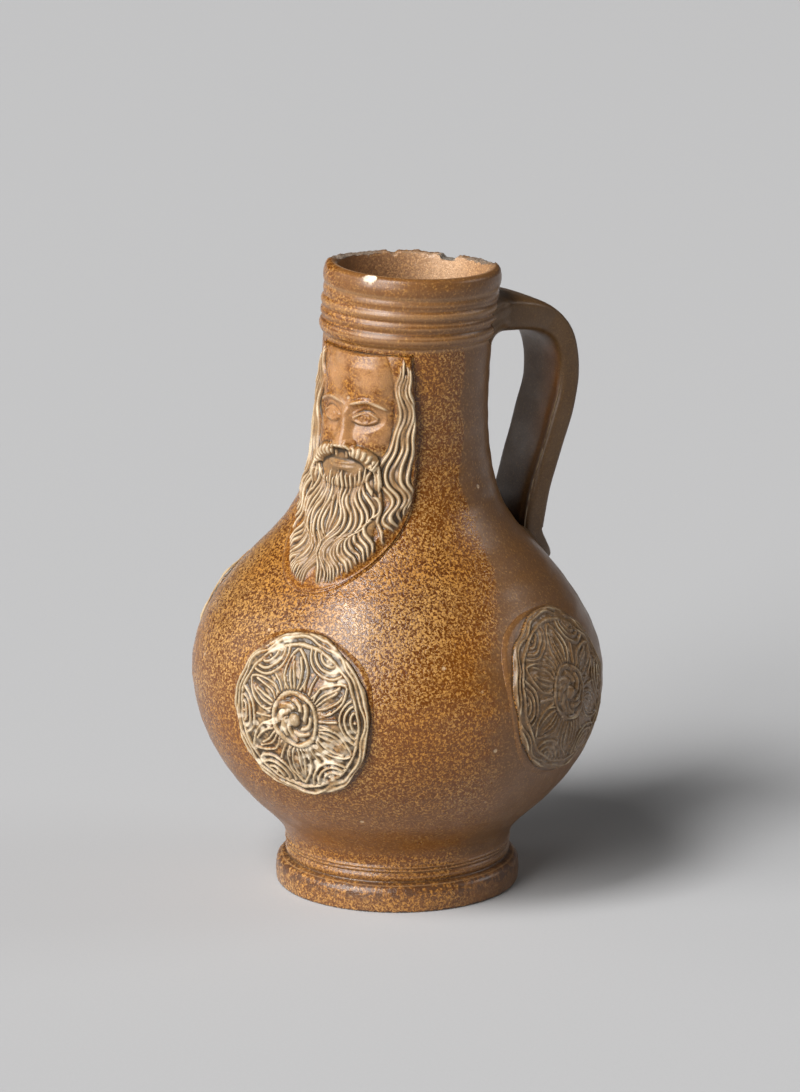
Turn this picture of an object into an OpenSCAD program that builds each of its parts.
// Bartmann jug: a wheel-thrown, salt-glazed stoneware jug with a strap handle, a moulded bearded mask
// on the neck and three moulded rosette medallions on the belly.
// The handle and the four reliefs are pieces of their own, each bedded on the wall in luting slip.
// Origin: centre of the foot's underside. +Z runs up the throwing axis, +Y points to the handle.
// Azimuths are counted from -Y, the side opposite the handle, towards +X.

/* [Foot] */
// Radius of the foot roll
foot_r = 41.5; // [40:0.5:46]
// Height of the foot roll
foot_h = 9.4; // [7:0.2:9.8]
// Rounding of the roll's lower edge
foot_edge = 1.6; // [0.6:0.2:2.6]
// Rounding of the roll's upper edge
foot_round = 3.2; // [1.6:0.2:4.4]
// Radius of the wall behind the foot cordons
cordon_r = 37.7; // [36:0.1:38.6]
// Height of the wide foot cordon
wide_cordon_h = 3.9; // [2.4:0.1:4.6]
// Height of the thin foot cordon
thin_cordon_h = 1.5; // [0.8:0.1:2.4]
// How far the foot cordons stand out
cordon_proud = 0.8; // [0.3:0.1:1.4]
// Thickness of the floor
floor_t = 9.5; // [7:0.5:13]

/* [Wall] */
// Radius of the waist above the foot
waist_r = 39.3; // [38:0.1:41]
// Height of the waist
waist_z = 19.5; // [18:0.5:22]
// Radius of the lower flank
flank_r = 52; // [50:0.2:54]
// Height of the lower flank
flank_z = 33; // [30:0.5:37]
// Radius of the belly at its widest
belly_r = 70; // [66:0.5:76]
// Height of the belly's widest place
belly_z = 75; // [70:0.5:80]
// Radius of the shoulder
shoulder_r = 45.5; // [43:0.2:48]
// Height of the shoulder
shoulder_z = 119; // [115:0.5:122]
// Radius at the foot of the neck
throat_r = 33.1; // [31.6:0.1:35]
// Height of the foot of the neck
throat_z = 138; // [134:0.5:144]
// Radius of the neck
neck_r = 28.3; // [27.4:0.1:29]
// Height from which the neck is straight
neck_z = 178; // [170:0.5:184]
// Wall thickness at the belly
belly_wall = 4.6; // [3.6:0.1:6]
// Radius of the mouth's bore
bore_r = 25; // [23:0.1:26]

/* [Collar and lip] */
// Height of the collar's lower edge
collar_z = 191.8; // [188:0.2:194]
// Radius of the collar at the bottom of its grooves
collar_r = 29.1; // [28.4:0.1:30]
// How far the collar's ridges stand out
collar_proud = 0.8; // [0.3:0.1:1.4]
// Height of the collar's lower ridge
low_ridge_h = 4.8; // [3.4:0.1:5.6]
// Height of the collar's thin ridge
thin_ridge_h = 2.8; // [1.8:0.1:3.6]
// Height of the collar's broad ridge
broad_ridge_h = 6.8; // [5:0.1:7.8]
// Width of the grooves between the ridges
groove_w = 0.6; // [0.3:0.1:1]
// Height of the rim over the foot's underside
rim_z = 215; // [213:0.5:220]
// Height of the rounding on top of the lip
lip_round = 2.2; // [1:0.1:3.2]

/* [Handle] */
// Width of the strap
handle_w = 24.5; // [21:0.1:27]
// Thickness of the strap
handle_t = 9.1; // [7:0.1:10.4]
// Height of the strap's upper end on the collar
handle_top_z = 199.5; // [198:0.5:203]
// Distance of the strap's middle from the axis at its farthest
handle_reach = 60; // [57:0.5:66]
// Height of the strap's farthest place
handle_reach_z = 170.5; // [164:0.5:175]
// Height at which the strap lands on the shoulder
handle_land_z = 119; // [116:0.5:122]
// Height of the tail's tip on the shoulder
handle_tail_z = 105.5; // [103:0.5:109]
// Thickness of the tail's tip
handle_tail_t = 3; // [2:0.1:5]

/* [Mask] */
// Azimuth of the mask
mask_azimuth = 22; // [-20:1:40]
// Distance of the mask's upper edge below the collar
mask_drop = 2.3; // [2.2:0.1:6]
// Height of the beard's tip
mask_tip_z = 112.6; // [110:0.2:116]
// Half width of the mask at its upper edge
mask_top_w = 18.5; // [16:0.1:21]
// Half width of the mask at its widest
mask_wide_w = 23.8; // [21:0.1:26]
// Height at which the mask is widest
mask_wide_z = 140; // [136:0.5:146]
// Thickness of the mask's ground
mask_t = 1.4; // [1:0.1:2.4]
// Height of the hairline on the face
hairline_z = 187; // [185:0.5:188]
// Height of the chin under the beard
chin_z = 143; // [140:0.5:146]
// Half width of the face
face_w = 13; // [11:0.1:15]
// Height of the nose over the face
nose_proud = 3.4; // [2:0.1:4.6]
// Spacing of the strands of hair and beard
strand_pitch = 5; // [4:0.1:7]
// Height of the strands
strand_proud = 1.1; // [0.6:0.1:1.8]

/* [Medallions] */
// Radius of a medallion
medallion_r = 27.2; // [25:0.1:29]
// Thickness of a medallion's ground
medallion_t = 1; // [0.8:0.1:2]
// Azimuth of the front medallion
front_azimuth = 29; // [20:1:36]
// Height of the front medallion's centre
front_z = 74.5; // [72:0.5:78]
// Azimuth of the right medallion
right_azimuth = 111; // [100:1:120]
// Height of the right medallion's centre
right_z = 77.5; // [74:0.5:81]
// Azimuth of the left medallion
left_azimuth = -71; // [-84:1:-62]
// Height of the left medallion's centre
left_z = 83.5; // [78:0.5:86]
// Radius of the ring round the petals
ring_r = 22.9; // [21:0.1:24]
// Radius of the ring round the hub
hub_r = 8.5; // [7.4:0.1:9.6]
// Radius of the hub's boss
boss_r = 2.9; // [2.2:0.1:3.6]
// Width of the rings
ring_w = 1.7; // [1.4:0.1:2.2]
// Height of the ornament over the ground
ornament_proud = 1.1; // [0.6:0.1:1.8]
// Number of petals
petals = 6; // [5:1:8]

/* [Luting] */
// Thickness of the luting slip
slip_t = 0.6; // [0.4:0.05:0.9]
// How far the slip shows round a relief
slip_margin = 0.9; // [0.4:0.1:1.4]
// Clearance between a bed of slip and its neighbours
bed_gap = 0.13; // [0.1:0.01:0.16]

/* [Hidden] */
$fn = 96;

waist_lean = 0.5;
flank_lean = 0.95;
shoulder_lean = -0.98;
throat_lean = -0.32;
stations = [[waist_z, waist_r, waist_lean], [flank_z, flank_r, flank_lean], [belly_z, belly_r, 0],
    [shoulder_z, shoulder_r, shoulder_lean], [throat_z, throat_r, throat_lean], [neck_z, neck_r, 0]];
neck_wall = neck_r - bore_r;
hollow_r = belly_r - belly_wall;
bowl_r = 33;
bowl_side = 26;
wall_steps = 56;
inside_steps = 40;
bowl_steps = 20;
arc_steps = 6;
probe = 0.05;

collar_out_r = collar_r + collar_proud;
collar_fillet = 0.7;
mask_top_z = collar_z - mask_drop;
thin_ridge_z = collar_z + low_ridge_h + groove_w;
broad_ridge_z = thin_ridge_z + thin_ridge_h + groove_w;
lip_z = broad_ridge_z + broad_ridge_h + groove_w;
lip_r = collar_r + collar_proud / 2;
wide_cordon_z = foot_h;
thin_cordon_z = wide_cordon_z + wide_cordon_h + groove_w;
cordon_top_z = thin_cordon_z + thin_cordon_h;

clay = [0.62, 0.43, 0.22];
clay_dark = [0.45, 0.33, 0.22];
clay_pale = [0.74, 0.66, 0.5];
slip_clay = [0.8, 0.72, 0.58];

// The wall's outline: a cubic through the stations, each [height, radius, slope]
function cubic(a, b, z) = let (h = b[0] - a[0], t = (z - a[0]) / h)
    (2 * t ^ 3 - 3 * t ^ 2 + 1) * a[1] + (t ^ 3 - 2 * t ^ 2 + t) * h * a[2]
    + (3 * t ^ 2 - 2 * t ^ 3) * b[1] + (t ^ 3 - t ^ 2) * h * b[2];
function span(z, i = 0) = i >= len(stations) - 2 || z <= stations[i + 1][0] ? i : span(z, i + 1);
function wall_r(z) = z >= neck_z ? neck_r : cubic(stations[span(z)], stations[span(z) + 1], z);
function wall_lean(z) = (wall_r(z + probe) - wall_r(z - probe)) / (2 * probe);
function wall_t(z) = neck_wall + (belly_wall - neck_wall) * (neck_z - z) / (neck_z - belly_z);
function outward(z) = let (m = wall_lean(z), k = sqrt(1 + m * m)) [1 / k, -m / k];

// A point at an azimuth and a height on the wall, lifted off it by h
function on_wall(az, z, h) = let (n = outward(z), r = wall_r(z) + h * n[0])
    [r * sin(az), -r * cos(az), z + h * n[1]];

function arc(centre, rx, rz, from, to) = [for (i = [0 : arc_steps])
    let (a = from + (to - from) * i / arc_steps) [centre[0] + rx * cos(a), centre[1] + rz * sin(a)]];
function ridge(r, z, h, proud) = arc([r, z + h / 2], proud, h / 2, -90, 90);
function bezier(p, t) = let (s = 1 - t)
    s ^ 3 * p[0] + 3 * s ^ 2 * t * p[1] + 3 * s * t ^ 2 * p[2] + t ^ 3 * p[3];
function bump(d, w) = abs(d) < w ? cos(90 * d / w) ^ 2 : 0;

outside = concat(
    [[0, 0]],
    arc([foot_r - foot_edge, foot_edge], foot_edge, foot_edge, -90, 0),
    arc([foot_r - foot_round, foot_h - foot_round], foot_round, foot_round, 0, 90),
    ridge(cordon_r, wide_cordon_z + groove_w / 2, wide_cordon_h, cordon_proud),
    ridge(cordon_r + groove_w, thin_cordon_z + groove_w / 2, thin_cordon_h, cordon_proud / 2),
    [for (i = [0 : wall_steps]) let (z = waist_z + (neck_z - waist_z) * i / wall_steps) [wall_r(z), z]],
    [[neck_r, collar_z - collar_fillet]],
    ridge(collar_r, collar_z, low_ridge_h, collar_proud),
    ridge(collar_r, thin_ridge_z, thin_ridge_h, collar_proud / 2),
    ridge(collar_r, broad_ridge_z, broad_ridge_h, collar_proud),
    [[collar_r, lip_z]]);
lip = arc([(lip_r + bore_r) / 2, rim_z - lip_round], (lip_r - bore_r) / 2, lip_round, 0, 180);
inside = [for (i = [inside_steps : -1 : 0])
    let (z = belly_z + (neck_z - belly_z) * i / inside_steps, n = outward(z))
    [wall_r(z) - wall_t(z) * n[0], z - wall_t(z) * n[1]]];
bowl_curve = [[hollow_r, belly_z], [hollow_r, belly_z - bowl_side], [bowl_r, floor_t], [0, floor_t]];
bowl = [for (i = [1 : bowl_steps]) bezier(bowl_curve, i / bowl_steps)];

module thrown_body()
    color(clay) rotate_extrude() polygon(concat(outside, lip, inside, bowl));

// A closed sheet between two grids of points. The outer one has rows by cols cells, the inner rows by ucols
module relief_sheet(outer, inner, rows, cols, ucols) {
    fan = cols / ucols;
    base = (rows + 1) * (cols + 1);
    function o(r, c) = r * (cols + 1) + c;
    function u(r, c) = base + r * (ucols + 1) + c;
    polyhedron(concat([for (row = outer) each row], [for (row = inner) each row]), concat(
        [for (r = [0 : rows - 1], c = [0 : cols - 1]) each
            [[o(r, c), o(r, c + 1), o(r + 1, c + 1)], [o(r, c), o(r + 1, c + 1), o(r + 1, c)]]],
        [for (r = [0 : rows - 1], c = [0 : ucols - 1]) each
            [[u(r, c), u(r + 1, c + 1), u(r, c + 1)], [u(r, c), u(r + 1, c), u(r + 1, c + 1)]]],
        [for (r = [0 : rows - 1]) each
            [[o(r, 0), o(r + 1, 0), u(r + 1, 0)], [o(r, 0), u(r + 1, 0), u(r, 0)],
            [o(r + 1, cols), o(r, cols), u(r, ucols)], [o(r + 1, cols), u(r, ucols), u(r + 1, ucols)]]],
        [for (k = [0 : ucols - 1]) each
            [[u(0, k), u(0, k + 1), o(0, (k + 1) * fan)],
            [u(rows, k + 1), u(rows, k), o(rows, (k + 1) * fan)]]],
        [for (k = [0 : ucols - 1], c = [k * fan : (k + 1) * fan - 1]) each
            [[u(0, k), o(0, c + 1), o(0, c)], [u(rows, k), o(rows, c), o(rows, c + 1)]]]));
}

// A closed disc between two polar grids, each a centre point and then its rings
module relief_disc(outer, inner, rings, urings, sectors) {
    base = rings * sectors + 1;
    function o(i, j) = 1 + (i - 1) * sectors + j % sectors;
    function u(i, j) = base + o(i, j);
    polyhedron(concat(outer, inner), concat(
        [for (j = [0 : sectors - 1]) each [[0, o(1, j + 1), o(1, j)], [base, u(1, j), u(1, j + 1)]]],
        [for (i = [1 : rings - 1], j = [0 : sectors - 1]) each
            [[o(i, j), o(i, j + 1), o(i + 1, j + 1)], [o(i, j), o(i + 1, j + 1), o(i + 1, j)]]],
        [for (i = [1 : urings - 1], j = [0 : sectors - 1]) each
            [[u(i, j), u(i + 1, j + 1), u(i, j + 1)], [u(i, j), u(i + 1, j), u(i + 1, j + 1)]]],
        [for (j = [0 : sectors - 1]) each
            [[o(rings, j), o(rings, j + 1), u(urings, j + 1)],
            [o(rings, j), u(urings, j + 1), u(urings, j)]]]));
}

// The strap's middle line in the plane x = 0, as [distance from the axis, height]
handle_rings = 44;
handle_sides = 24;
top_share = 0.42;
land_share = 0.84;
land_r = wall_r(handle_land_z) + handle_t / 3;
tail_r = wall_r(handle_tail_z) + handle_tail_t / 2;
strap_run = 20.3;
strap_bend = 19.4;
strap_drop = 13;
land_lead = [1.2, 16.6];
tail_lead = [0.3, 3.5];
tip_lead = [4.5, 6];
root_deeper = 0.6;
root_wider = 0.16;
top_curve = [[collar_out_r - handle_t, handle_top_z], [collar_out_r + strap_run, handle_top_z],
    [handle_reach, handle_reach_z + strap_bend], [handle_reach, handle_reach_z]];
down_curve = [[handle_reach, handle_reach_z], [handle_reach, handle_reach_z - strap_drop],
    [land_r, handle_land_z] + land_lead, [land_r, handle_land_z]];
tail_curve = [[land_r, handle_land_z], [land_r, handle_land_z] - tail_lead,
    [tail_r - tip_lead[0], handle_tail_z + tip_lead[1]], [tail_r, handle_tail_z]];
function strap_line(s) = s < top_share ? bezier(top_curve, s / top_share)
    : s < land_share ? bezier(down_curve, (s - top_share) / (land_share - top_share))
    : bezier(tail_curve, (s - land_share) / (1 - land_share));
step = 0.005;
function strap_way(s) = let (d = strap_line(min(s + step, 1)) - strap_line(max(s - step, 0))) d / norm(d);
function strap_t(s) = s < land_share ? handle_t
    : handle_t + (handle_tail_t - handle_t) * (s - land_share) / (1 - land_share);
function tail_share(u) = 0.35 + 0.65 * sqrt(1 - min(max(u, 0), 1) ^ 2);
function strap_w(s) = handle_w * (1 + root_wider * bump(s, 0.2)) * tail_share((s - land_share) / (1 - land_share));
function blunt(v) = sign(v) * abs(v) ^ 0.4;
function root_share(s, v) = v < 0 ? 1 + root_deeper * bump(s, 0.3) : 1;
function strap_ring(s) = let (p = strap_line(s), d = strap_way(s), t = strap_t(s) / 2, w = strap_w(s) / 2)
    [for (j = [0 : handle_sides - 1]) let (a = 360 * j / handle_sides, n = t * blunt(sin(a)) * root_share(s, sin(a)))
        clear_of_wall([w * blunt(cos(a)), p[0] - d[1] * n, p[1] + d[0] * n])];
function bed_r(z) = z > collar_z - handle_t ? collar_out_r : wall_r(z);
function clear_of_wall(p) = let (r = bed_r(p[2]) + slip_t + 2 * bed_gap)
    norm([p[0], p[1]]) >= r ? p : [p[0], sqrt(r * r - p[0] * p[0]), p[2]];

module strap_handle() {
    points = [for (i = [0 : handle_rings]) each strap_ring(i / handle_rings)];
    half = handle_sides / 2;
    function at(i, j) = i * handle_sides + j % handle_sides;
    function cap(i) = concat([[at(i, 0), at(i, 1), at(i, handle_sides - 1)]],
        [for (j = [1 : half - 2], k = [handle_sides - j]) each
            [[at(i, j), at(i, j + 1), at(i, k - 1)], [at(i, j), at(i, k - 1), at(i, k)]]],
        [[at(i, half - 1), at(i, half), at(i, half + 1)]]);
    color(clay_dark) polyhedron(points, concat(
        [for (i = [0 : handle_rings - 1], j = [0 : handle_sides - 1]) each
            [[at(i, j), at(i, j + 1), at(i + 1, j + 1)], [at(i, j), at(i + 1, j + 1), at(i + 1, j)]]],
        [for (f = cap(0)) [f[2], f[1], f[0]]], cap(handle_rings)));
}

module handle_top_slip() {
    half_h = handle_t / 2 * (1 + root_deeper / 2) + slip_margin;
    mid_z = handle_top_z - handle_t / 4 * root_deeper;
    half_w = handle_w / 2 * (1 + root_wider) + slip_margin;
    in_r = collar_out_r + bed_gap;
    color(slip_clay) intersection() {
        translate([0, 0, mid_z - half_h])
            difference() {
                cylinder(r = collar_out_r + slip_t, h = 2 * half_h);
                translate([0, 0, -1]) cylinder(r = in_r, h = 2 * half_h + 2);
            }
        translate([0, collar_r + handle_t, mid_z])
            rotate([90, 0, 0])
            linear_extrude(2 * handle_t)
            union() {
                square([2 * (half_w - half_h), 2 * half_h], center = true);
                translate([half_w - half_h, 0]) circle(half_h);
                translate([half_h - half_w, 0]) circle(half_h);
            }
    }
}

tail_rows = 14;
tail_cols = 14;
function tail_half(z) = slip_margin
    + handle_w / 2 * tail_share((handle_land_z - z) / (handle_land_z - handle_tail_z));
function tail_grid(h) = [for (r = [0 : tail_rows])
    let (z = handle_land_z + 1 - (handle_land_z + 1 - handle_tail_z + slip_margin) * r / tail_rows)
    [for (c = [0 : tail_cols]) let (x = (2 * c / tail_cols - 1) * tail_half(z))
        on_wall(180 + asin(x / wall_r(z)), z, h)]];
module handle_tail_slip()
    color(slip_clay) relief_sheet(tail_grid(slip_t), tail_grid(bed_gap), tail_rows, tail_cols, tail_cols);

// The mask: x runs along the wall from its middle line, z is the height
mask_rows = 50;
mask_cols = 36;
mask_under = 12;
slip_rows = 18;
tip_flat = 0.996;
third = (hairline_z - chin_z) / 3;
brow_z = hairline_z - third;
nose_z = brow_z - third;
eye_z = brow_z - third / 3.4;
mouth_z = nose_z - third / 3;
eye_x = face_w * 0.48;
eye_half = [4.4, 2.2];
eye_proud = 1.2;
brow_half = [7, 1.9];
brow_proud = 1.1;
brow_curve = 33;
nose_bridge_w = 2.4;
nose_wing_w = 5;
cheek_r = 6;
cheek_proud = 0.8;
lips_half = [5, 1.3];
lips_proud = 0.9;
moustache_half = [8, 2.6];
moustache_proud = 1.5;
moustache_curve = 36;
face_dome = 1.6;
mask_edge_w = 2.2;
strand_wave = 1.6;
strand_wave_len = 40;
beard_spread = 0.06;
function mask_half(z) = z > mask_wide_z
    ? mask_wide_w + (mask_top_w - mask_wide_w) * ((z - mask_wide_z) / (mask_top_z - mask_wide_z)) ^ 1.3
    : mask_wide_w * sqrt(1 - ((mask_wide_z - z) / (mask_wide_z - mask_tip_z)) ^ 2);
mask_run = mask_top_z - mask_wide_z + (mask_wide_z - mask_tip_z) * tip_flat;
function mask_z(v) = mask_top_z - mask_run * sin(90 * v) ^ 0.92;
function oval(x, z, x0, z0, w, h) = let (d = norm([(x - x0) / w, (z - z0) / h])) d < 1 ? 1 - d * d : 0;
function nose(x, z) = z > brow_z || z < nose_z ? 0 : let (t = (brow_z - z) / third)
    nose_proud * (0.35 + 0.65 * t) * bump(x, nose_bridge_w + (nose_wing_w - nose_bridge_w) * t);
function features(x, z) = let (ax = abs(x))
    brow_proud * bump(z - brow_z + (ax - eye_x) ^ 2 / brow_curve, brow_half[1])
        * bump(ax - eye_x, brow_half[0])
    + eye_proud * sqrt(oval(ax, z, eye_x, eye_z, eye_half[0], eye_half[1]))
    + cheek_proud * oval(ax, z, eye_x + cheek_r / 3, nose_z + cheek_r / 2, cheek_r, cheek_r)
    + lips_proud * bump(z - mouth_z, lips_half[1]) * bump(x, lips_half[0]);
function strand_shift(z) = strand_wave * sin(360 * z / strand_wave_len) + beard_spread * max(chin_z - z, 0);
function strands(x, z) = let (shift = strand_shift(z))
    strand_proud * (0.5 + 0.5 * cos(360 * (abs(x) + shift) / strand_pitch));
function moustache(x, z) = let (ax = abs(x), w = moustache_half)
    moustache_proud * bump(z - nose_z + w[1] + ax ^ 2 / moustache_curve, w[1]) * bump(ax - w[0] * 0.75, w[0]);
function mask_relief(x, z) = let (
        f = oval(x, z, 0, (hairline_z + chin_z) / 2, face_w, (hairline_z - chin_z) / 2),
        e = min(1, (mask_half(z) - abs(x)) / mask_edge_w), inner = f > 0.12 && z > nose_z - third * 0.75)
    mask_t * (0.4 + 0.6 * e) + (inner ? face_dome * sqrt(f) + nose(x, z) + features(x, z) : e * strands(x, z))
    + moustache(x, z);
function mask_grid(rows, cols, grow, lift) = [for (r = [0 : rows])
    let (z = mask_z(r / rows) + grow * (1 - 2 * r / rows),
        half = mask_half(min(max(z, mask_z(1)), mask_top_z)) + grow)
    [for (c = [0 : cols]) let (x = (2 * c / cols - 1) * half, az = mask_azimuth + x / wall_r(z) * 180 / PI)
        on_wall(az, z, lift == undef ? mask_bed + mask_relief(x, z) : lift)]];
mask_bed = slip_t + bed_gap;
module bearded_mask()
    color(clay_pale) relief_sheet(mask_grid(mask_rows, mask_cols, 0),
        mask_grid(mask_rows, mask_under, 0, mask_bed), mask_rows, mask_cols, mask_under);
module mask_slip()
    color(slip_clay) relief_sheet(mask_grid(slip_rows, mask_under, slip_margin, slip_t),
        mask_grid(slip_rows, mask_under, slip_margin, bed_gap), slip_rows, mask_under, mask_under);

// A medallion, seen along its own radius: rho and theta are polar round its centre
disc_under = 5;
disc_sectors = 72;
slip_rings = 5;
line_w = 1;
petal_in = hub_r + ring_w * 0.7;
petal_out = ring_r - ring_w / 2;
petal_w = 4;
lobe_r = 5.6;
inner_lobe_r = 3;
ray_end = 14.5;
ray_lean = 9;
whirl = 8;
whirl_twist = 16;
edge_waves = 8;
function spread(from, to, count) = [for (i = [1 : count]) from + (to - from) * i / count];
disc_radii = concat([boss_r * 0.6, boss_r], spread(boss_r, hub_r - ring_w * 0.7, 3), [hub_r, petal_in],
    spread(petal_in, petal_out, 7), [ring_r, ring_r + ring_w / 2], spread(ring_r + ring_w / 2, medallion_r, 4));
disc_rings = len(disc_radii);
function petal(rho, turn) = let (b = abs(rho * sin(turn)),
        t = (rho * cos(turn) - petal_in) / (petal_out - petal_in), w = petal_w * sin(180 * (0.14 + 0.86 * t)))
    t < 0 || t > 1 ? 0 : b < w - line_w ? max(0.3, 0.8 * bump(b, line_w)) : bump(b - w, line_w);
function lobe(rho, turn) = let (d = norm([rho * cos(turn) - ring_r, rho * sin(turn)]))
    rho < ring_r ? max(bump(d - lobe_r, line_w), bump(d - inner_lobe_r, line_w)) : 0;
function rays(rho, turn) = rho < petal_in || rho > ray_end ? 0
    : 0.8 * bump(rho * sin(abs(turn) - ray_lean), line_w);
function comma(rho, turn) = rho < boss_r || rho > hub_r - ring_w * 0.7 ? 0 : bump(rho * sin(turn), 1.4 * line_w);
function nearest(theta, count, start) = let (p = 360 / count, a = theta - start) a - p * round(a / p);
function rosette(rho, theta) = let (gap = nearest(theta, petals, 90 + 180 / petals)) max(
    bump(rho - ring_r, ring_w / 2), 1.2 * bump(rho - hub_r, ring_w * 0.7),
    1.5 * sqrt(max(0, 1 - (rho / boss_r) ^ 2)), comma(rho, nearest(theta - whirl_twist * rho, whirl, 0)),
    petal(rho, nearest(theta, petals, 90)), lobe(rho, gap), rays(rho, gap),
    rho > ring_r + ring_w / 2 ? 0.4 + 0.4 * cos(edge_waves * theta) : 0);
function disc_point(az, cz, rho, theta, h) = let (z = cz + rho * sin(theta))
    on_wall(az + asin(rho * cos(theta) / wall_r(z)), z, h);
function disc_grid(az, cz, radii, lift) = concat(
    [disc_point(az, cz, 0, 0, lift == undef ? mask_bed + medallion_t + 1.5 * ornament_proud : lift)],
    [for (rho = radii, j = [0 : disc_sectors - 1])
        let (theta = 360 * j / disc_sectors, e = min(1, (medallion_r - rho) / 1.4 + 0.3))
        disc_point(az, cz, rho, theta,
            lift == undef ? mask_bed + e * (medallion_t + ornament_proud * rosette(rho, theta)) : lift)]);
under_radii = spread(0, medallion_r, disc_under);
slip_radii = spread(0, medallion_r + slip_margin, slip_rings);
module medallion(az, cz)
    color(clay_pale) relief_disc(disc_grid(az, cz, disc_radii), disc_grid(az, cz, under_radii, mask_bed),
        disc_rings, disc_under, disc_sectors);
module medallion_slip(az, cz)
    color(slip_clay) relief_disc(disc_grid(az, cz, slip_radii, slip_t), disc_grid(az, cz, slip_radii, bed_gap),
        slip_rings, slip_rings, disc_sectors);

module medallion_front() medallion(front_azimuth, front_z);
module medallion_front_slip() medallion_slip(front_azimuth, front_z);
module medallion_right() medallion(right_azimuth, right_z);
module medallion_right_slip() medallion_slip(right_azimuth, right_z);
module medallion_left() medallion(left_azimuth, left_z);
module medallion_left_slip() medallion_slip(left_azimuth, left_z);

thrown_body();
strap_handle();
handle_top_slip();
handle_tail_slip();
bearded_mask();
mask_slip();
medallion_front();
medallion_front_slip();
medallion_right();
medallion_right_slip();
medallion_left();
medallion_left_slip();
